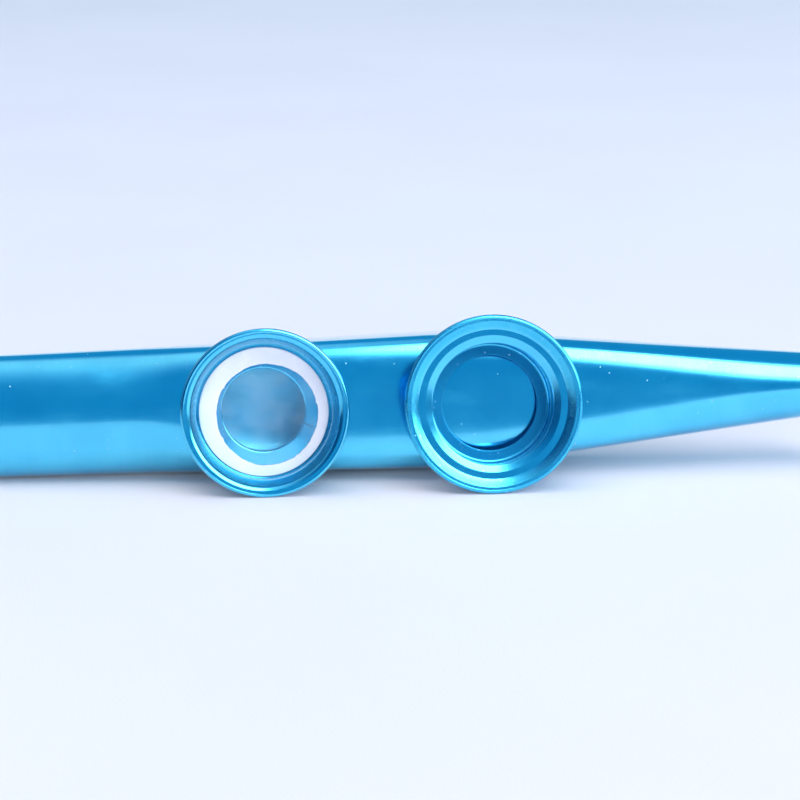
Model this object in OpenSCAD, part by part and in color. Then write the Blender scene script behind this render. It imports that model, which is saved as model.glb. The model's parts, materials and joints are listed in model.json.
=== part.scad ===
// A metal kazoo lying on its side, with its cap taken off and leaned on the tube.
// Lengths are millimetres. The part stands on z = 0, the tube runs along X, and the turret faces -Y.

/* [Tube] */
// Length of the tube, from the mouth end to the narrow end
tube_len = 120; // [105:1:150]
// Width of the tube at the mouth end
mouth_w = 17.4; // [16:0.1:19]
// Thickness of the tube at the mouth end
mouth_t = 11; // [9:0.1:12.5]
// Width of the tube at its widest place, before the shoulder is rounded
belly_w = 19.5; // [19:0.05:22]
// Thickness of the tube at its widest place
belly_t = 14; // [13:0.1:16]
// Distance of the widest place from the mouth end
belly_place = 68; // [62:1:76]
// Difference in width over which the shoulder at the widest place is rounded
belly_blend = 1.5; // [0.5:0.1:3]
// Outside diameter of the narrow round end
tip_d = 9.1; // [8:0.1:11]
// Thickness of the tube's metal
tube_wall = 0.8; // [0.6:0.05:1.2]
// Rounding of the metal's edge at both ends
end_round = 0.25; // [0.1:0.05:0.29]

/* [Turret] */
// Distance of the turret's axis from the mouth end
turret_place = 39.1; // [32:0.1:46]
// Radius of the well that the cap's plug enters
well_r = 9.6; // [8.95:0.05:9.85]
// How far the turret's rim stands out past the well
turret_flare_w = 2.2; // [2:0.05:3.5]
// How much narrower the well is at its floor, where the film and paper lie
seat_step = 0.2; // [0.16:0.02:0.3]
// Radius of the hole that lets the air through to the film
air_hole_r = 5.85; // [4.5:0.05:6.2]
// Thickness of the turret's metal
turret_wall = 0.65; // [0.5:0.05:0.8]
// Radius of the rolled lip's round edge
turret_lip_r = 0.42; // [0.3:0.02:0.5]
// Height of the foot between the tube's face and the turret's floor
foot_h = 0.35; // [0.3:0.05:1]
// Width of the foot's ring outside the neck
foot_w = 1.4; // [0.8:0.1:2]
// Gap between the neck and the edge of the tube's hole
neck_gap = 0.05; // [0.03:0.01:0.15]
// Length of the neck that is flared inside the tube
flare_len = 0.8; // [0.5:0.1:1.2]
// Width of the flare outside the neck
flare_w = 0.55; // [0.3:0.05:0.8]

/* [Film and paper ring] */
// Thickness of the film
film_t = 0.1; // [0.06:0.02:0.2]
// Thickness of the paper ring
paper_t = 0.3; // [0.2:0.05:0.5]
// Width of the paper ring
paper_w = 2.15; // [1.6:0.05:2.8]
// How far the paper's hole is off centre along the tube, towards the narrow end
paper_hole_x = 0.3; // [0:0.05:0.5]
// How far the paper's hole is off centre across the tube, downwards
paper_hole_y = 0.6; // [0:0.05:0.7]
// Gap between the film's edge and the seat round it
film_gap = 0.1; // [0.05:0.01:0.3]

/* [Cap] */
// How far the cap's rim stands out past the turret's rim
cap_overhang = 0.75; // [0.4:0.05:1.5]
// Depth of the cap, from the front of its rim to the back of its plug
cap_depth = 6; // [5.2:0.1:7]
// Width of the floor left round the hole in the cap
cap_floor_w = 1.75; // [1:0.05:3]
// Thickness of the cap's metal
cap_wall = 0.6; // [0.5:0.05:0.7]
// Radius of the round edge of the cap's rim
cap_lip_r = 0.45; // [0.3:0.02:0.5]
// Gap between the plug and the well
plug_gap = 0.2; // [0.1:0.01:0.3]
// Gap left under the plug when the cap is pushed home on the film and paper
clamp_gap = 0.1; // [0.05:0.01:0.3]
// Depth of the sloping flange inside the rim
flange_drop = 0.8; // [0.5:0.05:1]
// Width of the sloping flange
flange_w = 1.15; // [0.8:0.05:1.3]
// Depth of the ledge inside the flange, below its inner edge
ledge_drop = 0.15; // [0.05:0.05:0.3]
// How much narrower the plug's inside is at its floor than at the ledge
plug_taper = 0.3; // [0:0.05:0.5]

/* [Lie] */
// Angle at which the cap leans back, in degrees
cap_lean = 11.8; // [9.5:0.1:16]
// Free space along the tube between the turret's rim and the cap's rim
cap_spacing = 7.6; // [3:0.1:16]
// Gap between the back of the cap and the tube that it leans on
lean_gap = 0.2; // [0.1:0.05:0.4]

/* [Hidden] */
round_fn = 96;
overrun = 1;

// Sections of the tube: superellipses from an oval through a flat-sided one to a circle
mouth_power = 2.3;
belly_power = 5;
tip_power = 2;
// Shares of the way from the mouth end to the widest place at which the flat sides start and are full
flat_start_share = 0.3;
flat_full_share = 0.65;
// How the width grows to the widest place, and how the thickness falls from there
width_growth = 1.3;
thickness_fall = 1.3;
ring_count = 29;
ring_points = 64;

// Turret: heights above the tube's face at the turret's axis
turret_rim_r = well_r + turret_flare_w;
neck_r = air_hole_r + turret_wall;
foot_r = neck_r + foot_w;
// Share of the tube's thickness that the foot's ring reaches down before it is cut to the face
foot_reach_share = 0.25;
foot_reach = foot_reach_share * belly_t;
floor_z = foot_h + turret_wall;
film_z = floor_z + film_t;
paper_z = film_z + paper_t;
// The film's seat ends where the pushed-in plug does, and the straight wall starts there
seat_r = well_r - seat_step;
seat_top_z = paper_z + clamp_gap;
// What the plug reaches below the rim that it closes on
plug_reach = cap_depth - flange_drop - cap_lip_r;
turret_h = seat_top_z + plug_reach;
// Share of the plug's reach that the well's straight wall takes, below its bell mouth
well_wall_share = 0.55;
well_wall_len = well_wall_share * plug_reach;
well_top_z = seat_top_z + well_wall_len;
// The bell mouth ends in a groove beside the rolled lip, this share of the lip's radius below it
lip_groove_share = 0.35;
turret_groove_r = turret_rim_r - 2 * turret_lip_r;
turret_groove_z = turret_h - turret_lip_r * (1 + lip_groove_share);
bell_w = turret_groove_r - well_r;
bell_h = turret_groove_z - well_top_z;
film_r = seat_r - film_gap;
paper_hole_r = film_r - paper_w;

// Cap: heights from the front of its rim, the plug towards minus
cap_rim_r = turret_rim_r + cap_overhang;
plug_r = well_r - plug_gap;
plug_inside_r = plug_r - cap_wall;
plug_floor_r = plug_inside_r - plug_taper;
cap_hole_r = plug_floor_r - cap_floor_w;
flange_outer_r = cap_rim_r - 2 * cap_lip_r;
flange_inner_r = flange_outer_r - flange_w;
flange_outer_z = -cap_lip_r * (1 + lip_groove_share);
flange_inner_z = flange_outer_z - flange_drop;
ledge_z = flange_inner_z - ledge_drop;
plug_floor_z = cap_wall - cap_depth;
edge_round_share = 0.6;
plug_edge = cap_wall * edge_round_share;
// Share of the ledge's width over which it rounds down into the plug
ledge_round_share = 0.5;
ledge_round = ledge_round_share * (flange_inner_r - plug_inside_r);
arc_steps = 8;

// Place along the tube, as a distance from the mouth end
cap_place = turret_place + turret_rim_r + cap_rim_r + cap_spacing;

function clamp01(x) = max(0, min(1, x));
function smooth(x) = let (c = clamp01(x)) c * c * (3 - 2 * c);
function mix(a, b, f) = a + (b - a) * f;
// Lesser of two values, rounded where they differ by less than k
function soft_min(a, b, k) = let (h = max(k - abs(a - b), 0) / k) min(a, b) - h * h * k / 4;

// Shares of the way to the widest place and from it to the narrow end
function rise(s) = max(0, s) / belly_place;
function fall(s) = clamp01((s - belly_place) / (tube_len - belly_place));
function width_at(s) = soft_min(
    mix(mouth_w, belly_w, pow(rise(s), width_growth)),
    mix(belly_w, tip_d, (s - belly_place) / (tube_len - belly_place)),
    belly_blend);
function thickness_at(s) = s < belly_place
    ? mix(belly_t, mouth_t, pow(1 - rise(s), 2))
    : mix(belly_t, tip_d, pow(fall(s), thickness_fall));
function power_at(s) = s < belly_place
    ? mix(mouth_power, belly_power,
        smooth((rise(s) - flat_start_share) / (flat_full_share - flat_start_share)))
    : mix(belly_power, tip_power, smooth(fall(s)));

// Furthest reach of a superellipse in the direction that lies at angle ang from its width
function section_reach(half_w, half_t, p, ang) = let (q = p / (p - 1))
    pow(pow(half_w * abs(cos(ang)), q) + pow(half_t * abs(sin(ang)), q), 1 / q);
function reach_at(s, ang) =
    section_reach(width_at(s) / 2, thickness_at(s) / 2, power_at(s), ang);

// Places of the rings along the tube, with one more beside each end for its rounded edge
ring_places = concat(
    [0],
    [for (i = [0 : ring_count]) mix(end_round, tube_len - end_round, i / ring_count)],
    [tube_len]);
ring_last = len(ring_places) - 1;
// Share of the length at which the kazoo balances
balance_share = 0.45;
balance_place = balance_share * tube_len;
// Angles between which the lie is looked for, and how often the search halves them
roll_limit = 45;
pitch_limit = 10;
solve_steps = 18;

// The lie: the tube lies on its lower back edge, at two places to either side of where it
// balances, and on the lowest point of the turret's rim. Roll is the turret's tilt upwards,
// and pitch lifts the narrow end until both places touch.
rim_height = thickness_at(turret_place) / 2 + turret_h;
// Depth of the lowest place of the given ones, below the axis at the mouth end
function ground(places, roll, pitch) = max([for (s = places) reach_at(s, roll) - s * tan(pitch)]);
mouth_side = [for (s = ring_places) if (s <= balance_place) s];
tip_side = [for (s = ring_places) if (s > balance_place) s];
function solve_pitch(roll, low, high, steps) = let (mid = (low + high) / 2)
    steps == 0 ? mid
    : ground(mouth_side, roll, mid) < ground(tip_side, roll, mid)
        ? solve_pitch(roll, mid, high, steps - 1)
    : solve_pitch(roll, low, mid, steps - 1);
function pitch_for(roll) = solve_pitch(roll, -pitch_limit, pitch_limit, solve_steps);
function rim_reach(roll) = (turret_rim_r - turret_lip_r) * cos(roll)
    - (rim_height - turret_lip_r) * sin(roll) + turret_lip_r;
function rim_excess(roll) = let (pitch = pitch_for(roll))
    rim_reach(roll) - turret_place * tan(pitch) - ground(ring_places, roll, pitch);
function solve_roll(low, high, steps) = let (mid = (low + high) / 2)
    steps == 0 ? mid
    : rim_excess(mid) > 0 ? solve_roll(mid, high, steps - 1)
    : solve_roll(low, mid, steps - 1);
roll = solve_roll(0, roll_limit, solve_steps);
pitch = pitch_for(roll);
lift = ground(ring_places, roll, pitch) * cos(pitch) + tube_len / 2 * sin(pitch);

// The cap: its back is a plane that leans on the tube, and its rim stands on the ground
cap_axis = [0, -cos(cap_lean), sin(cap_lean)];
function axis_point(s) = [(s - tube_len / 2) * cos(pitch), 0, lift + (s - tube_len / 2) * sin(pitch)];
// How many places to either side of the cap's axis are tried for its lean on the tube
lean_tries = 4;
plug_places = [for (i = [-lean_tries : lean_tries]) cap_place + i / lean_tries * plug_r];
lean_reach = max([for (s = plug_places)
    axis_point(s) * cap_axis + reach_at(s, 90 - cap_lean + roll)]);
cap_centre_z = (cap_rim_r - cap_lip_r) * cos(cap_lean) + cap_lip_r * (1 + sin(cap_lean));
cap_centre_y = (cap_centre_z * sin(cap_lean) - lean_reach - lean_gap - cap_depth) / cos(cap_lean);
cap_front = cap_centre_y + cap_lip_r * cos(cap_lean)
    - (cap_rim_r - cap_lip_r) * sin(cap_lean) - cap_lip_r;
turret_front = -(rim_height - turret_lip_r) * cos(roll)
    - (turret_rim_r - turret_lip_r) * sin(roll) - turret_lip_r;
tube_back = max([for (s = ring_places) reach_at(s, 90 - roll)]);
// Puts the middle of the whole depth on y = 0
centre_y = -(tube_back + min(cap_front, turret_front)) / 2;

// Points of one section of the tube, with its outline moved in by inset
function section(s, inset) = let (
        half_w = width_at(s) / 2 - inset,
        half_t = thickness_at(s) / 2 - inset,
        e = 2 / power_at(s))
    [for (i = [0 : ring_points - 1]) let (a = 360 * i / ring_points)
        [s - tube_len / 2, half_w * sign(cos(a)) * pow(abs(cos(a)), e),
            half_t * sign(sin(a)) * pow(abs(sin(a)), e)]];
function edge_inset(i) = (i == 0 || i == ring_last) ? end_round : 0;
function skin_points(wall) = [for (i = [0 : ring_last])
    each section(ring_places[i], wall > 0 ? wall - edge_inset(i) : edge_inset(i))];
// Triangles of a skin whose rings start at point number first; flip turns them inwards
function skin_faces(first, flip) = [for (i = [0 : ring_last - 1], j = [0 : ring_points - 1]) let (
        a = first + i * ring_points + j,
        b = first + i * ring_points + (j + 1) % ring_points,
        c = b + ring_points,
        d = a + ring_points)
    each flip ? [[a, b, c], [a, c, d]] : [[a, c, b], [a, d, c]]];
// Triangles of the flat ring at one end, between the outer and the inner skin
function end_faces(outer, inner, flip) = [for (j = [0 : ring_points - 1]) let (
        k = (j + 1) % ring_points)
    each flip ? [[outer + j, inner + j, inner + k], [outer + j, inner + k, outer + k]]
        : [[outer + j, inner + k, inner + j], [outer + j, outer + k, inner + k]]];

// Points along part of an ellipse about centre, from angle a to angle b; size holds its half sizes
function oval_arc(centre, size, a, b) = [for (i = [0 : arc_steps]) let (t = mix(a, b, i / arc_steps))
    centre + [size.x * cos(t), size.y * sin(t)]];
function arc(centre, r, a, b) = oval_arc(centre, [r, r], a, b);

module tube_shell() {
    points = concat(skin_points(0), skin_points(tube_wall));
    inner = (ring_last + 1) * ring_points;
    last = ring_last * ring_points;
    polyhedron(points, concat(
        skin_faces(0, false),
        skin_faces(inner, true),
        end_faces(0, inner, false),
        end_faces(last, inner + last, true)));
}

module tube_solid() {
    last = ring_last * ring_points;
    polyhedron(skin_points(0), concat(
        skin_faces(0, false),
        [[for (j = [0 : ring_points - 1]) j]],
        [[for (j = [ring_points - 1 : -1 : 0]) last + j]]));
}

// Lays the playing kazoo, turret up, on its side
module lying() {
    translate([0, centre_y, lift]) rotate([0, -pitch, 0]) rotate([90 - roll, 0, 0]) children();
}

// Stands a piece on the tube's face at the turret's axis
module on_turret() {
    lying() translate([turret_place - tube_len / 2, 0, thickness_at(turret_place) / 2]) children();
}

module body_tube() {
    color("deepskyblue") lying() difference() {
        tube_shell();
        translate([turret_place - tube_len / 2, 0, 0])
            cylinder(h = belly_t, r = neck_r + neck_gap, $fn = round_fn);
    }
}

// Half section of the turret: neck, floor, straight well, bell mouth and rolled lip
module turret_section() {
    lip = [turret_rim_r - turret_lip_r, turret_h - turret_lip_r];
    bell = [turret_groove_r, well_top_z];
    neck_end_z = -tube_wall - flare_len - foot_h;
    polygon(concat(
        [[air_hole_r + flare_w, neck_end_z], [neck_r + flare_w, neck_end_z]],
        [[neck_r, neck_end_z + flare_len]],
        [[neck_r, foot_h]],
        [[well_r, foot_h]],
        arc([well_r, floor_z], turret_wall, -90, 0),
        oval_arc(bell, [bell_w - turret_wall, bell_h - turret_wall], 180, 90),
        arc(lip, turret_lip_r, -90, 180),
        oval_arc(bell, [bell_w, bell_h], 90, 180),
        [[well_r, seat_top_z]],
        [[seat_r, seat_top_z]],
        [[seat_r, floor_z]],
        [[air_hole_r, floor_z]],
        [[air_hole_r, neck_end_z + flare_len]]));
}

// Ring under the turret's floor, cut below to the tube's curved face
module turret_foot() {
    difference() {
        translate([0, 0, -foot_reach])
            cylinder(h = foot_reach + foot_h + turret_wall / 2, r = foot_r, $fn = round_fn);
        translate([0, 0, -foot_reach - overrun])
            cylinder(h = 2 * foot_reach + 2 * overrun, r = (air_hole_r + neck_r) / 2, $fn = round_fn);
        translate([tube_len / 2 - turret_place, 0, -thickness_at(turret_place) / 2])
            tube_solid();
    }
}

module turret() {
    color("dodgerblue") on_turret() {
        rotate_extrude($fn = round_fn) turret_section();
        turret_foot();
    }
}

module membrane_film() {
    color("lightblue") on_turret() translate([0, 0, floor_z])
        cylinder(h = film_t, r = film_r, $fn = round_fn);
}

module paper_ring() {
    color("white") on_turret() translate([0, 0, film_z]) difference() {
        cylinder(h = paper_t, r = film_r, $fn = round_fn);
        translate([paper_hole_x, -paper_hole_y, -overrun])
            cylinder(h = paper_t + 2 * overrun, r = paper_hole_r, $fn = round_fn);
    }
}

// Half section of the cap: rolled rim, sloping flange, ledge and plug with its holed floor
module cap_section() {
    lip = [cap_rim_r - cap_lip_r, -cap_lip_r];
    polygon(concat(
        arc(lip, cap_lip_r, 180, -90),
        [[flange_outer_r, flange_outer_z - cap_wall]],
        [[flange_inner_r + cap_wall / 2, flange_inner_z - cap_wall]],
        [[plug_r, ledge_z - cap_wall]],
        arc([plug_r - plug_edge, plug_edge - cap_depth], plug_edge, 0, -90),
        [[cap_hole_r, -cap_depth]],
        [[cap_hole_r, plug_floor_z]],
        [[plug_floor_r, plug_floor_z]],
        arc([plug_inside_r + ledge_round, ledge_z - ledge_round], ledge_round, 180, 90),
        [[flange_inner_r, flange_inner_z]],
        [[flange_outer_r, flange_outer_z]]));
}

module cap() {
    color("deepskyblue")
        translate([cap_place - tube_len / 2, centre_y + cap_centre_y, cap_centre_z])
            rotate([90 - cap_lean, 0, 0])
                rotate_extrude($fn = round_fn) cap_section();
}

body_tube();
turret();
membrane_film();
paper_ring();
cap();
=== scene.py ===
# %% [markdown]
# A blue metal kazoo, lying on its side with its cap off.
#
# The imported model already fixes every place and size. This script loads it, covers each of its
# five pieces with a finer surface, and gives the surfaces their finish: bright anodised metal,
# a thin clear film and a white paper ring. It starts by loading the frame.

# %% Load the frame
import json
import math
import bpy
import bmesh
import numpy as np
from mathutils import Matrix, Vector


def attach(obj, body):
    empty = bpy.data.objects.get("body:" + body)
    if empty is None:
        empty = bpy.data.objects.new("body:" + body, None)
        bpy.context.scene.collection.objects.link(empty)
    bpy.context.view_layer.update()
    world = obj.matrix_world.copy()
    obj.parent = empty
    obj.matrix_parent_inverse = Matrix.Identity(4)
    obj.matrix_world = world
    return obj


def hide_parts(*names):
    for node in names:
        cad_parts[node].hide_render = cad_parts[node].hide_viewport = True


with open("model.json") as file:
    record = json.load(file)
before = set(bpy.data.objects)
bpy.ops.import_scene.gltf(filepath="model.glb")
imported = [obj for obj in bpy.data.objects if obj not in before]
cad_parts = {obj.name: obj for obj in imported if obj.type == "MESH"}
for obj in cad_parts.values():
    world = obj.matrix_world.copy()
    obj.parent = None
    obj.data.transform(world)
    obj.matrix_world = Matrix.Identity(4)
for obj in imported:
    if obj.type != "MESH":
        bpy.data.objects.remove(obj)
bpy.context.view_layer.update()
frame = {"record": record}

MM = 0.001

# %% [markdown]
# The record's mounts say where things are: the two ends of the tube, the turret's well and the
# cap's plug. Three small frames come from them. Each has a corner and three directions, and
# every surface below is worked out in millimetres in one of them and then carried over.

# %% Frames of the tube, the turret and the cap
mounts = {m["name"]: m for m in frame["record"]["mounts"]}


def unit(v):
    """The vector divided by its own length."""
    v = np.asarray(v, float)
    return v / np.linalg.norm(v)


def mount_place(name):
    """A mount's point in millimetres."""
    return np.array(mounts[name]["pos_m"]) / MM


class Local:
    """A corner and three directions: a point is corner + x * across + y * up + z * out."""

    def __init__(self, corner, across, out):
        self.corner = np.asarray(corner, float)
        self.out = unit(out)
        self.across = unit(across - np.dot(across, self.out) * self.out)
        self.up = np.cross(self.out, self.across)

    def world(self, x, y, z):
        """Local millimetres to metres in the shared frame, as whole arrays."""
        x, y, z = np.broadcast_arrays(x, y, z)
        return (self.corner + x[..., None] * self.across + y[..., None] * self.up
                + z[..., None] * self.out) * MM


mouth_point = mount_place("mouthpiece")
tip_point = mount_place("narrow_opening")
tube_len = np.linalg.norm(tip_point - mouth_point)
tube = Local(mouth_point, unit(tip_point - mouth_point), mounts["turret_well"]["axis"])
turret_place = float(np.dot(mount_place("turret_well") - mouth_point, tube.across))
print("tube", round(tube_len, 2), "mm long, turret at", round(turret_place, 2), "mm")

# %% [markdown]
# Most of the kazoo is sheet metal that was pressed, drawn or rolled, so it has no hard corners.
# A few helpers make such shapes. Some turn corner points into a smooth outline by putting an arc
# at each corner. Others make a mesh from a whole grid of points at once.

# %% Outlines and grids
# Round pieces have this many points round their axis, and the skins stay this much inside the
# solids that they stand in for
TURNS = 288
HAIR = 0.008
# Steps of an outline that are shorter than this are dropped
REPEATED = 1e-6


def mix(a, b, f):
    """The value that lies the share f of the way from a to b."""
    return a + (b - a) * f


def smooth(x):
    """0 to 1 with level ends: 3 x^2 - 2 x^3, held between them."""
    x = np.clip(x, 0, 1)
    return x * x * (3 - 2 * x)


def rounded(corners, closed=True, steps=10):
    """A smooth outline through (r, z, radius) corners.

    At each corner the two sides are cut back by radius / tan(half the corner's angle), and an
    arc of that radius, with its centre on the corner's bisector, joins the cuts.
    """
    points = []
    count = len(corners)
    for i, (r, z, radius) in enumerate(corners):
        here = np.array([r, z])
        if radius == 0 or (not closed and i in (0, count - 1)):
            points.append(here[None])
            continue
        before = unit(np.array(corners[i - 1][:2]) - here)
        after = unit(np.array(corners[(i + 1) % count][:2]) - here)
        half = math.acos(np.clip(np.dot(before, after), -1, 1)) / 2
        centre = here + unit(before + after) * radius / math.sin(half)
        start = here + before * radius / math.tan(half) - centre
        end = here + after * radius / math.tan(half) - centre
        turn = math.atan2(start[0] * end[1] - start[1] * end[0], np.dot(start, end))
        angle = np.linspace(0, turn, steps)[:, None]
        side = np.array([-start[1], start[0]])
        points.append(centre + np.cos(angle) * start + np.sin(angle) * side)
    return np.concatenate(points)


def arc(r, z, radius, start, end, height=None, steps=28):
    """Points of an arc about (r, z), between two angles in degrees: (radius cos a, height sin a).

    Without a height it is part of a circle, and with one it is part of an ellipse.
    """
    a = np.radians(np.linspace(start, end, steps))
    return np.stack([r + radius * np.cos(a), z + (height or radius) * np.sin(a)], 1)


def refine(outline, spacing):
    """The closed outline without repeated points, and with extra ones where a step exceeds spacing."""
    steps = np.roll(outline, -1, axis=0) - outline
    moving = np.linalg.norm(steps, axis=1) > REPEATED
    outline, steps = outline[moving], steps[moving]
    counts = np.ceil(np.linalg.norm(steps, axis=1) / spacing).astype(int)
    return np.concatenate([
        point + step * np.arange(n)[:, None] / n for point, step, n in zip(outline, steps, counts)])


def grid_faces(rows, columns, wrap_rows, wrap_columns):
    """Four-sided faces between neighbouring points of a rows x columns grid."""
    i, j = np.meshgrid(np.arange(rows if wrap_rows else rows - 1),
                       np.arange(columns if wrap_columns else columns - 1), indexing="ij")
    i, j = i.ravel(), j.ravel()
    down, right = (i + 1) % rows, (j + 1) % columns
    return np.stack([i * columns + j, down * columns + j, down * columns + right, i * columns + right], 1)


def make_piece(name, points, faces, grain, satin_and_painted_shading=0.0):
    """A smooth mesh from arrays of points and faces, turned to face outwards.

    grain is one vector per point, for patterns that go along or round the piece. The last argument
    is one number per point, 0 where the metal is bright and 1 where it is dull. Dull metal also takes
    a painted colour: painted light inside the tube and the turret, painted shade on the cap.
    """
    mesh = bpy.data.meshes.new(name)
    mesh.from_pydata(points.reshape(-1, 3), [], faces)
    kept = mesh.attributes.new("grain", "FLOAT_VECTOR", "POINT")
    kept.data.foreach_set("vector", grain.ravel().astype(np.float32))
    dull = mesh.attributes.new("satin_and_painted_shading", "FLOAT", "POINT")
    dull.data.foreach_set("value", np.broadcast_to(satin_and_painted_shading, points.shape[:-1]).ravel().astype(np.float32))
    work = bmesh.new()
    work.from_mesh(mesh)
    bmesh.ops.recalc_face_normals(work, faces=work.faces)
    if work.calc_volume(signed=True) < 0:
        bmesh.ops.reverse_faces(work, faces=work.faces)
    work.to_mesh(mesh)
    work.free()
    mesh.shade_smooth()
    piece = bpy.data.objects.new(name, mesh)
    bpy.context.scene.collection.objects.link(piece)
    print(name, len(mesh.vertices), "points,", len(mesh.polygons), "faces")
    return piece


def turned(name, local, outline, satin_and_painted_shading, seat=None):
    """A piece turned on a lathe: each outline point (r, z) is carried round the local axis.

    A point is (r cos a, r sin a, z). Its grain is (cos a, sin a, distance along the outline),
    so a pattern that changes along the third only is a tool mark round the piece. seat holds the
    height of a curved surface as a function of (x, y), an inner radius and two heights: outside
    that radius, what lies between the heights is stretched, so that its lower end is on the surface.
    """
    a = 2 * np.pi * np.arange(TURNS) / TURNS
    r, z = outline[:, 0][:, None], outline[:, 1][:, None] + 0 * a
    x, y = r * np.cos(a), r * np.sin(a)
    if seat:
        surface_height, inner_r, low_z, high_z = seat
        stretched = mix(surface_height(x, y), high_z, (z - low_z) / (high_z - low_z))
        z = np.where((r > inner_r) & (z >= low_z) & (z <= high_z), stretched, z)
    steps = np.linalg.norm(np.diff(outline, axis=0), axis=1)
    along = np.concatenate([[0], np.cumsum(steps)])[:, None]
    grain = np.stack(np.broadcast_arrays(np.cos(a), np.sin(a), along), -1)
    faces = grid_faces(len(outline), TURNS, True, True)
    return make_piece(
        name, local.world(x, y, z), faces, grain, np.broadcast_to(satin_and_painted_shading, (TURNS, len(outline))).T)


# %% [markdown]
# The tube was a round pipe. Its front end was pressed to an oval for the lips, its belly to a
# shape with flat sides, and it tapers to a round end. So each slice is a superellipse, whose
# width, thickness and power change along the tube. These are the model's own rules, with many
# more slices and points than the solid has.

# %% Sizes of the tube
mouth_w, mouth_t, mouth_power = 17.4, 11.0, 2.3
belly_w, belly_t, belly_power = 19.5, 14.0, 5.0
tip_d, tip_power = 9.1, 2.0
belly_place, belly_blend = 68.0, 1.5
tube_wall, end_round = 0.8, 0.25
flat_start_share, flat_full_share = 0.3, 0.65
width_growth = thickness_fall = 1.3
# How far the points of a slice are drawn towards its flats
flat_warp = 0.22


def tube_width(s):
    """Two straight-ish runs that meet at the belly, with their corner rounded off."""
    rise = mix(mouth_w, belly_w, (np.maximum(s, 0) / belly_place) ** width_growth)
    fall = mix(belly_w, tip_d, (s - belly_place) / (tube_len - belly_place))
    near = np.maximum(belly_blend - np.abs(rise - fall), 0) / belly_blend
    return np.minimum(rise, fall) - near ** 2 * belly_blend / 4


def tube_thickness(s):
    """Swells as a parabola up to the belly, then falls away a little faster than a line."""
    rise = np.clip(s / belly_place, 0, 1)
    fall = np.clip((s - belly_place) / (tube_len - belly_place), 0, 1)
    return np.where(s < belly_place, mix(belly_t, mouth_t, (1 - rise) ** 2),
                    mix(belly_t, tip_d, fall ** thickness_fall))


def tube_power(s):
    """Power of the slice: near 2 is an oval, and 5 has flat sides."""
    flat = (s / belly_place - flat_start_share) / (flat_full_share - flat_start_share)
    fall = (s - belly_place) / (tube_len - belly_place)
    return np.where(s < belly_place, mix(mouth_power, belly_power, smooth(flat)),
                    mix(belly_power, tip_power, smooth(fall)))


def tube_slices(s, inset, count):
    """Points of the slices at places s: (half width)|cos|^(2/p), (half thickness)|sin|^(2/p).

    The angles are warped a little, so that points also lie along the flats.
    """
    a = 2 * np.pi * np.arange(count) / count
    a = a - flat_warp * np.sin(4 * a)
    s, inset = np.broadcast_arrays(s[:, None], inset[:, None])
    e = 2 / tube_power(s)
    y = (tube_width(s) / 2 - inset) * np.sign(np.cos(a)) * np.abs(np.cos(a)) ** e
    z = (tube_thickness(s) / 2 - inset) * np.sign(np.sin(a)) * np.abs(np.sin(a)) ** e
    return tube.world(s + 0 * a, y, z), np.stack(np.broadcast_arrays(s, np.cos(a), np.sin(a)), -1)


print("mouth", mouth_w, "x", mouth_t, "mm, belly", belly_w, "x", belly_t, "mm, tip", tip_d, "mm")

# %% [markdown]
# The outside, the rounded rim, the inside and the other rim make one closed skin: the slices go
# out along the tube and come back inside it. Where the skin turns round an end, the slices
# are drawn in along a quarter circle, so that the edge catches a thin line of light.

# %% Skin of the tube
ROUND, END_STEPS, OUT_SLICES, IN_SLICES = 192, 7, 219, 119
end_arc = np.linspace(0, np.pi / 2, END_STEPS)
from_end = end_round * (1 - np.sin(end_arc))
drawn_in = end_round * (1 - np.cos(end_arc))
out_places = np.concatenate([
    from_end[::-1], np.linspace(end_round, tube_len - end_round, OUT_SLICES + 2)[1:-1],
    tube_len - from_end])
out_insets = HAIR + np.concatenate([drawn_in[::-1], np.zeros(OUT_SLICES), drawn_in])
in_places = np.concatenate([
    tube_len - from_end[::-1], np.linspace(tube_len - end_round, end_round, IN_SLICES + 2)[1:-1],
    from_end])
in_insets = tube_wall - np.concatenate([drawn_in[::-1], np.zeros(IN_SLICES), drawn_in])
skin, skin_grain = tube_slices(
    np.concatenate([out_places, in_places]), np.concatenate([out_insets, in_insets]), ROUND)
# The inside counts as dull metal and takes a paler blue dye: painted light, so that it looks lit through the
# air hole
inner_skin = np.concatenate([np.zeros(len(out_places)), np.ones(len(in_places))])
body_tube = make_piece("body_tube_skin", skin, grid_faces(len(skin), ROUND, True, True), skin_grain,
                       np.broadcast_to(inner_skin, (ROUND, len(skin))).T)

# %% [markdown]
# The turret's neck goes through a round hole in the tube's face. The hole is cut with a plain
# cylinder, and the cutter is thrown away. A cut leaves slivers, which are merged.

# %% Hole under the turret
face_t = tube_thickness(np.array(turret_place)) / 2
turret = Local(tube.corner + turret_place * tube.across + face_t * tube.out, tube.across, tube.out)
neck_hole_r, neck_hole_depth = 6.55, 4.0
# Points closer than this after the cut are merged
SLIVER = 0.002


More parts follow.
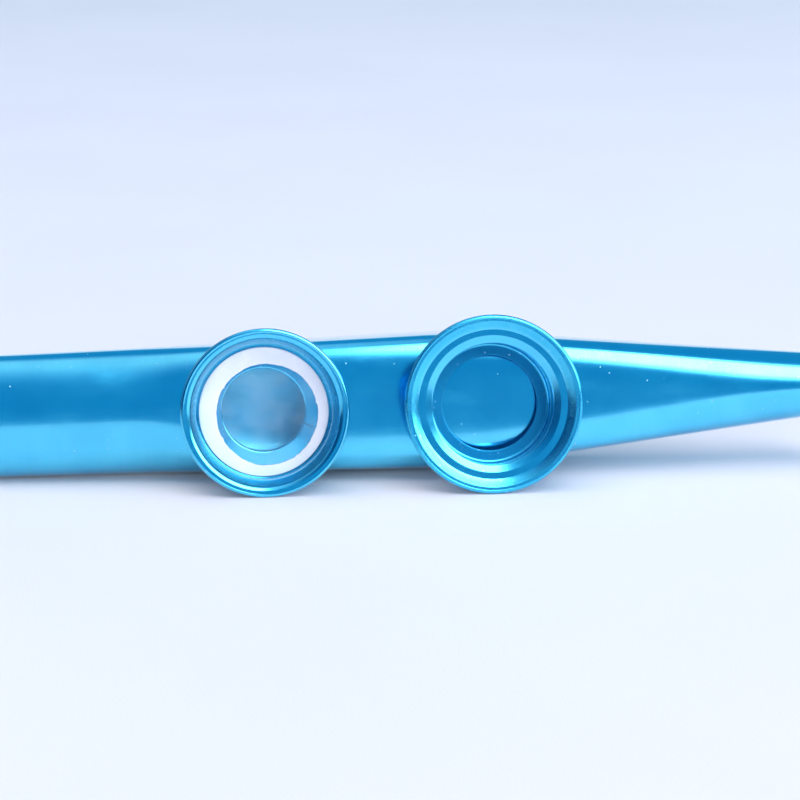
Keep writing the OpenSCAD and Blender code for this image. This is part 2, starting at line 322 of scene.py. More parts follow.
def cut_round_hole(piece, local, r, depth):
    """Cuts a cylinder of radius r, from depth below the local corner to depth above it."""
    cutter_mesh = bpy.data.meshes.new("cutter")
    work = bmesh.new()
    bmesh.ops.create_cone(
        work, cap_ends=True, segments=ROUND, radius1=r * MM, radius2=r * MM, depth=2 * depth * MM)
    work.to_mesh(cutter_mesh)
    work.free()
    places = np.empty(len(cutter_mesh.vertices) * 3)
    cutter_mesh.vertices.foreach_get("co", places)
    x, y, z = places.reshape(-1, 3).T / MM
    cutter_mesh.vertices.foreach_set("co", local.world(x, y, z).ravel())
    cutter = bpy.data.objects.new("cutter", cutter_mesh)
    bpy.context.scene.collection.objects.link(cutter)
    cut = piece.modifiers.new("hole", "BOOLEAN")
    cut.operation, cut.solver, cut.object = "DIFFERENCE", "EXACT", cutter
    evaluated = piece.evaluated_get(bpy.context.evaluated_depsgraph_get())
    result = bpy.data.meshes.new_from_object(evaluated)
    piece.modifiers.clear()
    old, piece.data = piece.data, result
    result.name = old.name + "_cut"
    work = bmesh.new()
    work.from_mesh(result)
    bmesh.ops.remove_doubles(work, verts=work.verts, dist=SLIVER * MM)
    work.to_mesh(result)
    work.free()
    bpy.data.objects.remove(cutter)
    bpy.data.meshes.remove(cutter_mesh)
    bpy.data.meshes.remove(old)


cut_round_hole(body_tube, turret, neck_hole_r, neck_hole_depth)
print("tube after the cut", len(body_tube.data.vertices), "points")

# %% [markdown]
# The turret is a drawn cup. Its neck is flared inside the tube, and its floor carries the film.
# Above the well the wall opens to a rolled lip: inside as a steep cone and then a nearly flat
# flange, and outside as a quarter of an ellipse. Under the floor a short foot stands on the
# tube's curved face. Heights are measured from the face, along the turret's axis.

# %% Turret
wall = 0.65
air_hole_r, neck_r, foot_r = 5.85, 6.5, 7.9
foot_h, floor_z, seat_top_z, well_top_z, turret_h = 0.35, 1.0, 1.5, 4.1125, 6.25
well_r, seat_r, rim_r, lip_r = 9.6, 9.4, 11.8, 0.42
# The groove beside a rolled lip lies this many of the lip's radii below its top
LIP_GROOVE = 1.35
# An open run of corners stops this far short of the lip's arc
ARC_GAP = 0.02
groove_r, groove_z = rim_r - 2 * lip_r, turret_h - LIP_GROOVE * lip_r
outer_w, outer_h = groove_r - well_r, groove_z - well_top_z
neck_flare_w, neck_bend_z, neck_end_z, neck_in_tube_z = 0.55, -1.15, -1.95, -0.4
# The well narrows downwards by its draft, and the cone starts this far below the well's top
well_draft, cone_start_drop = 0.06, 0.15
# The cone ends at cone_r and the flange flange_w further out, both a little below the turret's top
cone_r, cone_drop, flange_w, flange_drop = 10.42, 0.30, 0.43, 0.04
# The foot's underside starts this far outside the neck, so that only the foot is stretched
foot_gap = 0.01
turret_spacing = 0.22


def face_height(x, y):
    """Height of the tube's face over the turret's corner, which is itself face_t above the axis.

    The face is t (1 - |y / w|^p)^(1/p) above the axis, where t and w are half the slice's sizes.
    """
    s = turret_place + x
    p = tube_power(s)
    side = np.clip(np.abs(y) / (tube_width(s) / 2), 0, 1)
    return tube_thickness(s) / 2 * (1 - side ** p) ** (1 / p) - face_t


# Each corner is (r, z, the radius that rounds it)
turret_outline = refine(np.concatenate([
    arc(rim_r - lip_r, turret_h - lip_r, lip_r - HAIR, -90, 90),
    rounded([
        (rim_r - lip_r - ARC_GAP, turret_h - ARC_GAP, 0),
        (cone_r + flange_w, turret_h - flange_drop, 0.5),
        (cone_r, turret_h - cone_drop, 0.45),
        (well_r, well_top_z - cone_start_drop, 0.6),
        (well_r - well_draft, seat_top_z, 0.06),
        (seat_r, seat_top_z, 0.06), (seat_r, floor_z, 0.12), (air_hole_r, floor_z, 0.25),
        (air_hole_r, neck_bend_z, 0.5), (air_hole_r + neck_flare_w, neck_end_z, 0.12),
        (neck_r + neck_flare_w, neck_end_z, 0.12), (neck_r, neck_bend_z, 0.4),
        (neck_r, neck_in_tube_z, 0), (neck_r + foot_gap, neck_in_tube_z, 0),
        (foot_r, neck_in_tube_z, 0), (foot_r, foot_h, 0.15),
        (well_r + wall, foot_h, wall), (well_r + wall, well_top_z, 0)], closed=False),
    arc(groove_r, well_top_z, outer_w - wall, 180, 90, outer_h - wall)]), turret_spacing)
print("turret outline", len(turret_outline), "points")

# %% [markdown]
# The cup was dyed as a whole, but its parts weren't polished alike. The seat is dull where it
# lies low and bright at its sides, which mirror the dim room. Where it lies low it is also painted a
# paler blue: painted light. The cone above the well has a thinner glassy layer than the rest, and a
# little of the same painted light.

# %% Dull parts of the turret, with painted light
# The seat is dull and painted lighter inside one radius, and the cone is a share as dull outside another
seat_dull_and_lit_r, seat_fade_w, cone_dull_and_lit_r, cone_share = 9.3, 0.6, 9.5, 0.32
# The seat lies low where the sine of its angle is under -low_share, with a soft fade
low_share, low_fade = 0.5, 0.35

outline_r, outline_z = turret_outline.T
inside = np.arange(len(turret_outline)) < len(turret_outline) / 2
seat_dull_and_lit = smooth((seat_dull_and_lit_r - outline_r) / seat_fade_w) * (outline_z < floor_z + 0.2)
cone_dull_and_lit = smooth((outline_r - cone_dull_and_lit_r) / 0.1) * smooth((cone_r - outline_r) / 0.2)
cone_dull_and_lit = cone_share * cone_dull_and_lit * (outline_z > seat_top_z) * inside
turn = 2 * np.pi * np.arange(TURNS) / TURNS
seat_low = smooth((-np.sin(turn) - low_share) / low_fade)
turret_piece = turned("turret_skin", turret, turret_outline, seat_low[:, None] * seat_dull_and_lit + cone_dull_and_lit,
                      (face_height, neck_r + foot_gap / 2, neck_in_tube_z, foot_h))

# %% [markdown]
# The film is a disc of thin plastic. It lies flat under the paper ring and sags and ripples a
# little over the air hole.

# %% Film
film_r, film_t = 9.3, 0.1
film_z = floor_z + film_t
# Each of the film's two sheets lies this far inside the solid's
film_hair = 0.005
# Waves of the slack film: height, radians per mm along x and y, and a shift
FILM_WAVES = ((0.030, 1.15, 0.5, 0.6), (0.022, 0.55, -1.3, 0.0), (0.012, 2.3, 1.7, 2.0))
film_drop, slack_r, slack_fade_w = 0.02, 5.6, 2.2


def disc_points(count, r):
    """A square grid drawn out to a disc: x = u sqrt(1 - v^2 / 2), y = v sqrt(1 - u^2 / 2)."""
    u, v = np.meshgrid(np.linspace(-1, 1, count), np.linspace(-1, 1, count), indexing="ij")
    return r * u * np.sqrt(1 - v * v / 2), r * v * np.sqrt(1 - u * u / 2)


def film_height(x, y):
    """Three slow waves across each other, faded out to nothing towards the hole's edge."""
    waves = sum(h * np.sin(a * x + b * y + c) for h, a, b, c in FILM_WAVES) - film_drop
    return waves * smooth((slack_r - np.hypot(x, y)) / slack_fade_w)


GRID = 141
SHEET = GRID * GRID
disc_x, disc_y = disc_points(GRID, film_r)
sag = film_height(disc_x, disc_y)
film_points = np.concatenate([
    turret.world(disc_x, disc_y, floor_z + film_hair + sag).reshape(-1, 3),
    turret.world(disc_x, disc_y, film_z - film_hair + sag).reshape(-1, 3)])
index = np.arange(SHEET).reshape(GRID, GRID)
rim = np.concatenate([index[:-1, 0], index[-1, :-1], index[:0:-1, -1], index[0, :0:-1]])
next_rim = np.roll(rim, -1)
sheet_faces = grid_faces(GRID, GRID, False, False)
film_faces = np.concatenate([
    sheet_faces[:, ::-1], sheet_faces + SHEET,
    np.stack([rim, next_rim, next_rim + SHEET, rim + SHEET], 1)])
film_grain = np.stack([np.tile(disc_x.ravel(), 2), np.tile(disc_y.ravel(), 2), np.zeros(2 * SHEET)], -1)
film = make_piece("film_skin", film_points, film_faces, film_grain)

# %% [markdown]
# The paper ring on the film was punched by hand: its hole is off centre, and the hole's edge
# isn't quite even and has a few nicks. The ring bows a little where nothing holds it down.

# %% Paper ring
PAPER_TURNS = 360
paper_t, paper_r, paper_low = 0.3, 9.12, -0.2
paper_hole_r, paper_x, paper_y = 7.15, 0.45, -0.6
# Height of the paper's underside and top over the film, and how far it bows
paper_under, paper_top, paper_bow_h = 0.01, paper_t - 0.03, 0.02
# The hole's edge: depth, waves per turn and shift, and the nicks' angle, width and depth
UNEVEN = ((0.035, 3, 0.4), (0.03, 7, 1.9), (0.02, 17, 0.0), (0.015, 41, 1.0))
NICKS = ((0.2, 0.02, 0.16), (2.55, 0.015, 0.12), (3.6, 0.03, 0.1), (5.3, 0.018, 0.14))
paper_spacing = 0.12

turn = 2 * np.pi * np.arange(PAPER_TURNS) / PAPER_TURNS
uneven = sum(depth * np.sin(waves * turn + shift) for depth, waves, shift in UNEVEN)
nicks = sum(depth * np.exp(-(np.angle(np.exp(1j * (turn - where))) / width) ** 2)
            for where, width, depth in NICKS)
hole_r = paper_hole_r + uneven - nicks
# Along the outline the first number is the share of the way from the hole's edge to the outside
paper_outline = refine(rounded([
    (0, paper_under, 0.05), (1, paper_under, 0.05), (1, paper_top, 0.09), (0, paper_top, 0.09)], steps=6),
    paper_spacing)
share, height = paper_outline[:, 0][:, None], paper_outline[:, 1][:, None]
paper_xs = mix(paper_x + hole_r * np.cos(turn), paper_r * np.cos(turn), share)
paper_ys = mix(paper_y + hole_r * np.sin(turn), paper_low + paper_r * np.sin(turn), share)
paper_bow = paper_bow_h * np.sin(2 * turn + 0.8) * (height / paper_t) * (1 - share) / 2
paper = make_piece(
    "paper_skin", turret.world(paper_xs, paper_ys, film_z + height + paper_bow),
    grid_faces(len(share), PAPER_TURNS, True, True),
    np.stack(np.broadcast_arrays(paper_xs, paper_ys, height), -1))

# %% [markdown]
# The cap is pressed from one disc: a rolled rim, a flange that slopes inwards, a narrow ledge,
# and a plug whose floor has a hole. It stands beside the turret and leans on the tube. Heights
# are measured from the plane of its rim.

# %% Cap
cap_wall, cap_depth, cap_rim_r, cap_lip_r = 0.6, 6.0, 12.55, 0.45
plug_r, plug_floor_r, cap_hole_r, plug_edge = 9.4, 8.5, 6.75, 0.36
# Back of the flange and of the ledge
flange_outer_r, flange_outer_z = cap_rim_r - 2 * cap_lip_r, -LIP_GROOVE * cap_lip_r
cap_flange_w, cap_flange_fall, ledge_fall = 1.15, 0.8, 0.15
flange_inner_r, flange_inner_z = flange_outer_r - cap_flange_w, flange_outer_z - cap_flange_fall
ledge_back_z = flange_inner_z - ledge_fall - cap_wall
# Front: the ledge from its inner edge to the step, the slope, and the flat beside the lip
ledge_r, ledge_bend_w, ledge_depth, ledge_slope, ledge_dip = 8.5, 1.1, 0.62, 0.36, 0.015
step_r, step_w, step_h = 10.5, 0.55, 0.24
flat_r, flat_drop = 11.6, 0.04
cap_spacing = 0.16
plug_axis = unit(mounts["cap_plug"]["axis"])
plug_length = mounts["cap_plug"]["dims"]["length_mm"]
plug_back_z = -(cap_depth - plug_edge)
cap = Local(mount_place("cap_plug") + plug_axis * (plug_back_z + plug_length / 2), [1, 0, 0], -plug_axis)

cap_outline = refine(np.concatenate([
    arc(cap_rim_r - cap_lip_r, -cap_lip_r, cap_lip_r - HAIR, 90, -90),
    rounded([
        (flange_outer_r, flange_outer_z - cap_wall, 0),
        (flange_inner_r + cap_wall / 2, flange_inner_z - cap_wall, 0.5),
        (plug_r, ledge_back_z, 0.12), (plug_r, -cap_depth, plug_edge), (cap_hole_r, -cap_depth, 0.1),
        (cap_hole_r, cap_wall - cap_depth, 0.16), (plug_floor_r, cap_wall - cap_depth, 0.45),
        (ledge_r, -ledge_depth - ledge_slope, 0.3), (ledge_r + ledge_bend_w, -ledge_depth - ledge_dip, 0.8),
        (step_r, -ledge_depth, 0.3), (step_r + step_w, -ledge_depth + step_h, 2.5),
        (flat_r, -flat_drop, 0.25), (cap_rim_r - cap_lip_r - ARC_GAP, -ARC_GAP, 0)],
        closed=False)]), cap_spacing)
print("cap outline", len(cap_outline), "points")

# %% [markdown]
# The floor of the plug, the slope of the flange and the back of the cap are duller than the rim,
# because the polishing wheel doesn't reach them. They are also painted a darker blue: painted shade
# in the plug's hollow, on the slope and on the back, which faces the tube.

# %% Dull parts of the cap, with painted shade
# Height up to which the plug's floor is dull and painted darker, and how dull and dark the slope and the back
# are
floor_dull_and_shaded_z, slope_share, back_share = 0.8 - cap_depth, 0.35, 0.7

outline_r, outline_z = cap_outline.T
floor_dull_and_shaded = smooth((plug_floor_r - 0.1 - outline_r) / 0.35) * (outline_z < floor_dull_and_shaded_z)
slope_dull_and_shaded = slope_share * smooth((outline_r - step_r) / 0.5) * (outline_z > -ledge_depth)
back_dull_and_shaded = back_share * ((outline_r > plug_r - 0.25) & (outline_z < -2 * cap_lip_r - 0.05))
cap_piece = turned("cap_skin", cap, cap_outline, floor_dull_and_shaded + slope_dull_and_shaded + back_dull_and_shaded)

# %% [markdown]
# Every finish below is worked out by shader nodes from the place on the object, so no image is
# laid on and nothing is stretched. A few colours are painted light or painted shade, as said where
# they stand. Two small classes keep the node work readable. A `Value` is a socket that adds and
# multiplies like a number, and a `Finish` is a material that adds nodes.

# %% Helpers for the finishes
class Value:
    """A shader socket that adds, subtracts, multiplies and divides."""

    def __init__(self, finish, socket):
        self.finish, self.socket = finish, socket

    def __add__(self, other):
        return self.finish.maths("ADD", self, other)

    def __sub__(self, other):
        return self.finish.maths("SUBTRACT", self, other)

    def __rsub__(self, other):
        return self.finish.maths("SUBTRACT", other, self)

    def __mul__(self, other):
        return self.finish.maths("MULTIPLY", self, other)

    def __truediv__(self, other):
        return self.finish.maths("DIVIDE", self, other)

    def __neg__(self):
        return self.finish.maths("MULTIPLY", self, -1.0)

    def __abs__(self):
        return self.finish.maths("ABSOLUTE", self)

    __radd__ = __add__
    __rmul__ = __mul__

    def at_most(self, limit):
        """The lesser of the value and the limit."""
        return self.finish.maths("MINIMUM", self, limit)

    def over(self, low, high):
        """0 below low, 1 above high and a smooth step between; low may be the greater one."""
        return self.finish.node("ShaderNodeMapRange", {"interpolation_type": "SMOOTHSTEP"},
                                {"Value": self, "From Min": low, "From Max": high})


class Finish:
    """A node tree for one material, with one method that adds and wires any node."""

    def __init__(self, name, tree=None):
        self.material = None
        if tree is None:
            self.material = bpy.data.materials.new(name)
            self.material.use_nodes = True
            tree = self.material.node_tree
        self.tree = tree
        self.tree.nodes.clear()

    def node(self, kind, settings=None, values=None, out=0):
        """Adds a node, sets its properties, and links or sets its inputs by name or number."""
        made = self.tree.nodes.new(kind)
        for key, value in (settings or {}).items():
            setattr(made, key, value)
        for key, value in (values or {}).items():
            if isinstance(value, Value):
                self.tree.links.new(value.socket, made.inputs[key])
            else:
                made.inputs[key].default_value = value
        return Value(self, made.outputs[out]) if made.outputs else None

    def maths(self, operation, *values):
        """One Math node of the given operation."""
        return self.node("ShaderNodeMath", {"operation": operation}, dict(enumerate(values)))

    def angle(self, up, back):
        """Degrees of the direction (back, up), counted from the viewer's side over the top."""
        return self.maths("ARCTAN2", up, -back) * (180 / math.pi)

    def place(self):
        """The place on the object, in millimetres."""
        return self.scaled(self.node("ShaderNodeTexCoord", out="Object"), 1 / MM)

    def grain(self):
        """The piece's own three grain values."""
        return self.node("ShaderNodeAttribute", {"attribute_name": "grain"}, out="Vector")

    def satin_and_painted_shading(self):
        """0 on bright metal and 1 on dull metal, which also takes a painted colour: painted light inside the
        tube and the turret, painted shade on the cap.
        """
        return self.node("ShaderNodeAttribute", {"attribute_name": "satin_and_painted_shading"}, out="Fac")

    def parts(self, vector):
        """The three numbers of a vector."""
        first = self.node("ShaderNodeSeparateXYZ", values={0: vector})
        return [Value(self, output) for output in first.socket.node.outputs]

    def join(self, x, y, z):
        """A vector from three numbers."""
        return self.node("ShaderNodeCombineXYZ", values={0: x, 1: y, 2: z})

    def scaled(self, vector, scale):
        """The vector times a number."""
        return self.node("ShaderNodeVectorMath", {"operation": "SCALE"}, {0: vector, "Scale": scale})

    def stretched(self, vector, factors):
        """The vector with each of its three numbers times its own factor."""
        return self.node("ShaderNodeVectorMath", {"operation": "MULTIPLY"}, {0: vector, 1: factors})

    def moved(self, vector, by):
        """The vector plus another."""
        return self.node("ShaderNodeVectorMath", {"operation": "ADD"}, {0: vector, 1: by})

    def noise(self, where, scale, detail=2.0, rough=0.5, out=0):
        """Cloudy values from 0 to 1, mostly near a half; scale is in clouds per unit."""
        return self.node("ShaderNodeTexNoise", {}, {
            "Vector": where, "Scale": scale, "Detail": detail, "Roughness": rough}, out)

    def cells(self, where, scale, out="Distance"):
        """Distance to the nearest of many scattered points, or that point's random colour."""
        return self.node("ShaderNodeTexVoronoi", {}, {"Vector": where, "Scale": scale}, out)

    def dots(self, where, scale, radius, share):
        """Small soft dots round some of the scattered points, 1 inside and 0 outside."""
        chosen = self.parts(self.cells(where, scale, "Color"))[0].over(1 - share, 1 - share + 0.01)
        return self.cells(where, scale).over(radius, radius * 0.55) * chosen

    def blend(self, share, a, b):
        """One Mix node for two colours."""
        return self.node("ShaderNodeMix", {"data_type": "RGBA"}, {0: share, 6: a, 7: b}, 2)

    def bump(self, height, distance):
        """Tilts the surface as if it stood up by height times distance, in millimetres."""
        return self.node("ShaderNodeBump", {}, {
            "Height": height, "Distance": distance * MM, "Strength": 1.0})

    def surface(self, **values):
        """The Principled shader and the material's output; returns the material."""
        named = {key.replace("_", " "): value for key, value in values.items()}
        shader = self.node("ShaderNodeBsdfPrincipled", {}, named)
        self.node("ShaderNodeOutputMaterial", {}, {"Surface": shader})
        return self.material


# %% [markdown]
# The metal is aluminium with a clear blue dye in its surface. It reflects like metal, tinted by
# the dye, and a thin glassy layer on top, which dull metal lacks, adds a little white to the
# strongest lights. Handling leaves what a close look shows: faint clouds in the dye, short
# scratches, pale specks of dust and pin holes, and a slight grain from the tools.

# %% Blue metal
DYE = (0.088, 0.62, 0.87, 1)
DEEP_DYE = (0.072, 0.57, 0.83, 1)
FINE_DYE = (0.06, 0.62, 0.98, 1)
# Darker blue for the dull parts of the cap: painted shade
SATIN_SHADE_DYE = (0.016, 0.25, 0.46, 1)
# Paler blue for the inside of the tube and the dull parts of the turret: painted light
LIT_INSIDE_DYE = (0.17, 0.74, 1.0, 1)
BARE = (0.45, 0.80, 0.94, 1)
# Depth of the marks in the metal, in millimetres
MARK_DEPTH = 0.04
# Width of the band along an end rim that is rubbed
RUBBED_W = 0.35


def anodised(name, tool_marks, wear, base_rough, dull_rough, dull_painted_dye):
    """Blue dyed metal. Dull metal is rougher by dull_rough and takes the last argument's dye, a painted
    colour: painted light inside the tube and the turret, painted shade on the cap.

    tool_marks and wear are functions of the finish: the height of the marks that tools left, and
    the share of bare metal.
    """
    f = Finish(name)
    place = f.place()
    clouds = f.noise(place, 0.16, detail=3.0)
    fine = f.noise(place, 1.7, detail=4.0, rough=0.6)
    colour = f.blend(clouds.over(0.35, 0.7), DYE, DEEP_DYE)
    colour = f.blend(fine.over(0.4, 0.75) * 0.18, colour, FINE_DYE)
    # Painted light and shade: dull metal takes a paler dye inside the tube and the turret, and a darker one
    # on the cap
    colour = f.blend(f.satin_and_painted_shading() * f.satin_and_painted_shading(), colour, dull_painted_dye)
    specks = f.dots(place, 0.55, radius=0.085, share=0.35)
    dust = f.dots(f.moved(place, (5.3, 2.2, 8.4)), 1.15, radius=0.17, share=0.35) * clouds.over(0.3, 0.65)
    pin_holes = f.dots(f.moved(place, (3.1, 7.7, 1.9)), 1.3, radius=0.07, share=0.35)
    bend = f.scaled(f.noise(place, 0.25, out="Color"), 2.5)
    lines = f.stretched(f.moved(place, bend), (0.5, 3.2, 3.2))
    scratches = f.dots(lines, 0.42, radius=0.05, share=0.22) * f.noise(place, 0.12).over(0.42, 0.6)
    grains = f.dots(place, 2.3, radius=0.17, share=0.4) * f.satin_and_painted_shading() * (1.0 - f.satin_and_painted_shading()) * 2.5
    pale = specks * 0.8 + dust * 0.4 + scratches * 0.45 + grains + wear(f)
    colour = f.blend(pale.at_most(1.0), colour, BARE)
    smears = f.noise(f.stretched(place, (0.35, 1.0, 1.0)), 0.28, detail=4.0, rough=0.62).over(0.45, 0.8)
    rough = base_rough + smears * 0.07 + fine * 0.02 + specks * 0.3 + scratches * 0.2 + f.satin_and_painted_shading() * dull_rough
    waves = f.noise(place, 0.11, detail=1.0) * 0.5
    height = waves + tool_marks(f) - scratches * 0.012 - pin_holes * 0.008 + specks * 0.01
    return f.surface(
        Base_Color=colour, Metallic=1.0, Roughness=rough, Normal=f.bump(height, MARK_DEPTH),
        Coat_Weight=1.0 - (f.satin_and_painted_shading() * 3.0).at_most(1.0), Coat_Roughness=0.08, Coat_IOR=1.42)


def drawn_marks(f):
    """Faint lines along the tube: they change round the section and hardly along it."""
    s, c, d = f.parts(f.grain())
    lines = f.noise(f.join(s * 0.02, c * 24, d * 24), 1.0, detail=3.0)
    return lines * 0.035 + f.noise(f.place(), 5.0, detail=3.0) * 0.006


def turned_marks(f):
    """Fine rings round the piece, fine radial lines left by the press, and grit where it is dull."""
    c, d, along = f.parts(f.grain())
    rings = f.noise(f.join(0.0, 0.0, along * 9.0), 1.0, detail=3.0, rough=0.65)
    radial = f.noise(f.join(c * 55, d * 55, along * 0.3), 1.0)
    grit = f.noise(f.place(), 6.0, rough=0.6)
    return rings * 0.05 + radial * 0.03 + grit * (0.02 + f.satin_and_painted_shading() * 0.6)


def tube_wear(f):
    """Metal rubbed paler at the two end rims, and faint polishing streaks round the girth."""
    s, c, d = f.parts(f.grain())
    end = s.over(RUBBED_W, 0.05) + s.over(tube_len - RUBBED_W, tube_len - 0.05)
    streaks = f.noise(f.join(s * 5.5, c * 0.9, d * 0.9), 1.0, detail=3.0, rough=0.7).over(0.45, 0.75)
    return end * 0.35 + streaks * 0.045


def rim_wear(f):
    """A rim that was rubbed here and there."""
    return f.noise(f.place(), 0.5, detail=3.0, rough=0.7).over(0.66, 0.8) * 0.10


tube_metal = anodised("tube_metal", drawn_marks, tube_wear, 0.145, 0.25, LIT_INSIDE_DYE)
turret_metal = anodised("turret_metal", turned_marks, rim_wear, 0.165, 0.25, LIT_INSIDE_DYE)
cap_metal = anodised("cap_metal", turned_marks, rim_wear, 0.175, 0.22, SATIN_SHADE_DYE)
print("metals", tube_metal.name, turret_metal.name, cap_metal.name)

# %% [markdown]
# The film is clear but milky, with slack ripples and a few specks. Its milky veil thins towards the
# top, over the top of the air hole and the seat, so that the top looks darker: painted shade. One thin
# dark line runs outwards over the seat on the right.

# %% Film's finish
CLEAR, MILKY = (0.40, 0.80, 0.98, 1), (0.60, 0.88, 1.0, 1)
SPECK, DARK_LINE = (0.95, 0.97, 1.0, 1), (0.02, 0.10, 0.18, 1)
# The dark line goes through this point, and these are the parts of the direction square to it
dark_line_x, dark_line_y, dark_line_across_x, dark_line_across_y = 5.3, -1.9, 0.447, 0.894
# Places between which the dark line sets in and ends to the right, and the milky veil thins upwards: painted
# shade
dark_line_starts, dark_line_ends, film_clears = (5.1, 5.5), (7.1, 6.8), (6.1, 4.3)
f = Finish("film")
place = f.place()
x, y = f.parts(f.grain())[:2]
milky = f.noise(place, 0.22, detail=3.0).over(0.35, 0.7)
film_specks = f.dots(place, 0.9, radius=0.09, share=0.22)
ripples = f.noise(f.stretched(place, (1.0, 1.0, 0.35)), 0.9, detail=4.0, rough=0.6)
to_dark_line = abs((y - dark_line_y) * dark_line_across_y + (x - dark_line_x) * dark_line_across_x)
dark_line = to_dark_line.over(0.09, 0.02) * x.over(*dark_line_starts) * x.over(*dark_line_ends)
# Painted shade: the milky veil thins towards the top, so that the top of the air hole looks darker
veil_with_painted_shade = 0.25 + y.over(*film_clears) * 0.75
film_colour = f.blend(dark_line, f.blend(milky, CLEAR, MILKY), DARK_LINE)
film_material = f.surface(
    Base_Color=f.blend(film_specks, film_colour, SPECK),
    Alpha=(0.05 + milky * 0.04 + ripples.over(0.5, 0.8) * 0.03) * veil_with_painted_shade + film_specks * 0.4 + dark_line * 0.6,
    Roughness=0.16 + milky * 0.10, IOR=1.46,
    Normal=f.bump(ripples + milky * 0.6, 0.05))

# %% [markdown]
# The paper is plain white stock: soft fibres, a slightly uneven tone and no shine.

# %% Paper's finish
PAPER_WHITE, PAPER_PALE, FIBRE = (0.69, 0.69, 0.73, 1), (0.75, 0.74, 0.78, 1), (0.58, 0.60, 0.64, 1)
f = Finish("paper")
place = f.place()
fibres = f.noise(f.stretched(place, (3.0, 3.0, 9.0)), 1.4, detail=5.0, rough=0.65)
tone = f.noise(place, 0.35, detail=3.0)
paper_colour = f.blend(tone.over(0.35, 0.7), PAPER_WHITE, PAPER_PALE)
paper_colour = f.blend(fibres.over(0.55, 0.85) * 0.25, paper_colour, FIBRE)
paper_material = f.surface(
    Base_Color=paper_colour, Roughness=0.72 + fibres * 0.16,
    Normal=f.bump(fibres + tone * 0.5, 0.03))
print("thin parts", film_material.name, paper_material.name)

# %% [markdown]
# Each new surface now takes its finish, rides on the body that it belongs to, and stands in for
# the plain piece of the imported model.

# %% Finishes, bodies and the pieces that are stood in for
for piece, material, body, node, slot in (
        (body_tube, tube_metal, "kazoo", "body_tube", "tube_metal"),
        (turret_piece, turret_metal, "kazoo", "turret", "turret_metal"),
        (film, film_material, "membrane", "membrane_film", "film"),
        (paper, paper_material, "membrane", "paper_ring", "paper"),
        (cap_piece, cap_metal, "cap", "cap", "cap_metal")):
    piece.data.materials.clear()
    piece.data.materials.append(material)
    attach(piece, body)
    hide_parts(node)
    print(node, "is shown by", piece.name)

# %% [markdown]
# The kazoo lies on a pale matt table, which reaches far enough to fill the picture.

# %% Table
TABLE_HALF = 4.0
TABLE_TONE, TABLE_PALE, TABLE_FIBRE = (0.80, 0.755, 0.745, 1), (0.82, 0.775, 0.765, 1), (0.75, 0.71, 0.70, 1)


def stage_piece(name, points, faces, material):
    """A piece of the scene round the kazoo, in metres."""
    mesh = bpy.data.meshes.new(name)
    mesh.from_pydata(points, [], faces)
    mesh.materials.append(material)
    piece = bpy.data.objects.new(name, mesh)
    bpy.context.scene.collection.objects.link(piece)
    return piece


f = Finish("table")
place = f.place()
table_tone = f.noise(place, 0.012, detail=3.0)
table_fibres = f.noise(place, 2.5, detail=4.0, rough=0.6)
table_colour = f.blend(table_tone.over(0.3, 0.7), TABLE_TONE, TABLE_PALE)
table_material = f.surface(
    Base_Color=f.blend(table_fibres.over(0.6, 0.9) * 0.12, table_colour, TABLE_FIBRE),
    Roughness=0.55 + table_fibres * 0.1, IOR=1.3, Normal=f.bump(table_fibres, 0.03))
corners = np.array([[-1, -1, 0], [1, -1, 0], [1, 1, 0], [-1, 1, 0]]) * TABLE_HALF
stage_piece("table_top", corners, [(0, 1, 2, 3)], table_material)
print("table", 2 * TABLE_HALF, "m wide")

# %% [markdown]
# Bright metal shows its lamps, and paper and table only show how much light they get. So two
# kinds of light are used. A wide lamp high on the right is seen by the metal alone: it is a patch
# of a sphere round the scene, with soft edges. A shiny tube shows it as a band along its length.

# %% Lamp seen in the metal
LIGHT_TINT = (0.93, 0.98, 1.04)
LAMP_DISTANCE, LAMP_STRENGTH, LAMP_STEPS = 3.0, 6.6, 17
# The patch, as shares to the right and as degrees from the viewer's side over the top
patch_across, patch_turn = (-0.02, 0.97), (18, 98)
# Where the light sets in and ends: in degrees, and at its left side as shares. It sets in lower
# by the slant towards the right
lamp_starts, lamp_ends, lamp_left = (38, 58), (86, 66), (-0.01, 0.07)
lamp_slant, slant_across = 16, (0.02, 0.12)

patch_x, patch_a = np.meshgrid(
    np.linspace(*patch_across, LAMP_STEPS), np.radians(np.linspace(*patch_turn, LAMP_STEPS)), indexing="ij")
patch_ring = np.sqrt(1 - patch_x ** 2)
patch = np.stack([patch_x, -patch_ring * np.cos(patch_a), patch_ring * np.sin(patch_a)], -1)
f = Finish("lamp")
lamp_across, lamp_back, lamp_up = f.parts(f.place())
lamp_angle = f.angle(lamp_up, lamp_back)
lamp_share = lamp_across / (LAMP_DISTANCE / MM)
lamp_low = (lamp_angle + lamp_share.over(*slant_across) * lamp_slant).over(*lamp_starts)
lamp_shape = lamp_low * lamp_angle.over(*lamp_ends) * lamp_share.over(*lamp_left)
lamp_material = f.surface(
    Base_Color=(0, 0, 0, 1), Emission_Color=(*LIGHT_TINT, 1), Emission_Strength=LAMP_STRENGTH,
    Alpha=lamp_shape)
lamp_faces = grid_faces(LAMP_STEPS, LAMP_STEPS, False, False)
lamp_dome = stage_piece("lamp_dome", (LAMP_DISTANCE * patch).reshape(-1, 3), lamp_faces, lamp_material)
lamp_dome.visible_camera = lamp_dome.visible_diffuse = lamp_dome.visible_shadow = False
print("lamp", len(lamp_faces), "faces")

# %% [markdown]
# Four soft boxes light the paper and the table and aren't seen in the metal. The low one on the
# right is bluish and opens up the shadows.

# %% Soft boxes for the paper and the table
WARM_TINT, FILL_TINT = (1.12, 1.02, 1.05), (0.97, 1.0, 1.4)


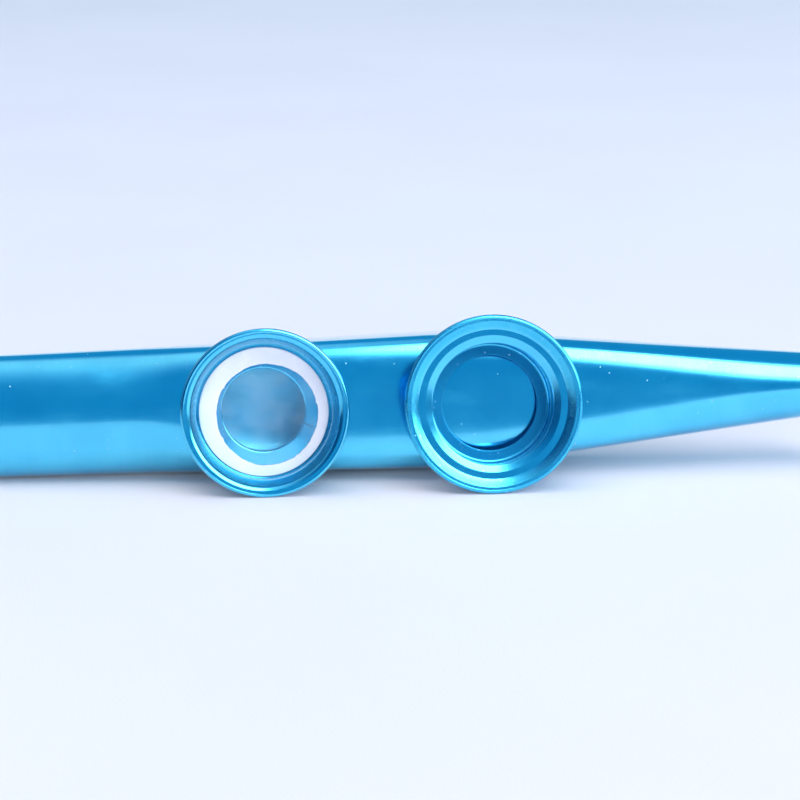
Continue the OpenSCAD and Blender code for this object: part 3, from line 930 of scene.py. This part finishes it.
def soft_box(name, centre, size_x, size_y, strength, tint):
    """A rectangular lamp at centre that faces the kazoo; strength is its radiance."""
    lamp = bpy.data.lights.new(name, "AREA")
    lamp.shape, lamp.size, lamp.size_y = "RECTANGLE", size_x, size_y
    lamp.energy = strength * math.pi * size_x * size_y
    lamp.color = tint
    placed = bpy.data.objects.new(name, lamp)
    placed.location = centre
    placed.rotation_euler = (-Vector(centre)).to_track_quat("-Z", "Y").to_euler()
    placed.visible_glossy = False
    bpy.context.scene.collection.objects.link(placed)
    print("soft box", name)


soft_box("key_box", (0.80, -1.35, 1.73), 1.6, 1.4, 1.5, WARM_TINT)
soft_box("top_box", (-0.25, -0.20, 1.90), 2.4, 1.6, 1.62, WARM_TINT)
soft_box("front_box", (-0.1, -1.65, 0.42), 2.6, 0.8, 3.5, WARM_TINT)
soft_box("right_box", (1.70, -0.45, 0.40), 1.6, 0.9, 5.8, FILL_TINT)

# %% [markdown]
# The rest of the room is a plain glow that depends only on the direction: its angle is counted
# from the viewer's side, over the top, to the wall behind. The ceiling and the wall are pale and
# the room in front is dim and blue, so the tube shows the wall at its top edge, then the lamp,
# then the dim room, then the table.

# %% Room
PALE, DIM_BLUE, DEEP_BLUE = (0.93, 0.98, 1.08, 1), (0.05, 0.58, 1.02, 1), (0.02, 0.62, 1.55, 1)
# Degrees between which the ceiling sets in and ends and the wall behind sets in
ceiling_starts, ceiling_ends, wall_starts = (36, 92), (130, 106), (155, 170)
# Shares to the right, less than 0 to the left, between which each side of the room sets in
ceiling_across, left_across, right_across = (0.20, -0.12), (-0.16, -0.46), (0.45, 0.9)

world = bpy.data.worlds.new("room")
bpy.context.scene.world = world
world.use_nodes = True
f = Finish("room", world.node_tree)
dir_across, dir_back, dir_up = f.parts(f.node("ShaderNodeTexCoord", out="Generated"))
turned_up = f.angle(dir_up, dir_back)
ceiling = turned_up.over(*ceiling_starts) * turned_up.over(*ceiling_ends) * dir_across.over(*ceiling_across)
behind = turned_up.over(*wall_starts)
left, right = dir_across.over(*left_across), dir_across.over(*right_across)
glow = 0.60 + ceiling * 0.5 + behind * 0.4 - left * 0.47 - right * 0.2
room_colour = f.blend((behind + ceiling).at_most(1.0), f.blend(left, DIM_BLUE, DEEP_BLUE), PALE)
background = f.node("ShaderNodeBackground", {}, {"Color": room_colour, "Strength": glow})
f.node("ShaderNodeOutputWorld", {}, {"Surface": background})
print("room", world.name)

# %% [markdown]
# The camera looks from a little to the left and 14 degrees down, through a long lens, so the
# two round pieces look almost undistorted. Colours are shown as they are, without a film curve,
# because the photo clips its brightest parts.

# %% Camera
azimuth, elevation, distance = math.radians(-5), math.radians(14), 0.400
target = Vector((-0.001, 0.00395, 0.0100))
camera_data = bpy.data.cameras.new("camera")
camera = bpy.data.objects.new("camera", camera_data)
bpy.context.scene.collection.objects.link(camera)
bpy.context.scene.camera = camera
camera_data.lens, camera_data.sensor_width = 124.92, 36.0
camera_data.clip_start, camera_data.clip_end = 0.01, 20
back = Vector((math.sin(azimuth) * math.cos(elevation), -math.cos(azimuth) * math.cos(elevation),
               math.sin(elevation)))
camera.location = target + back * distance
camera.rotation_euler = back.to_track_quat("Z", "Y").to_euler()
bpy.context.scene.view_settings.view_transform = "Standard"
print("camera", [round(v, 4) for v in camera.location])
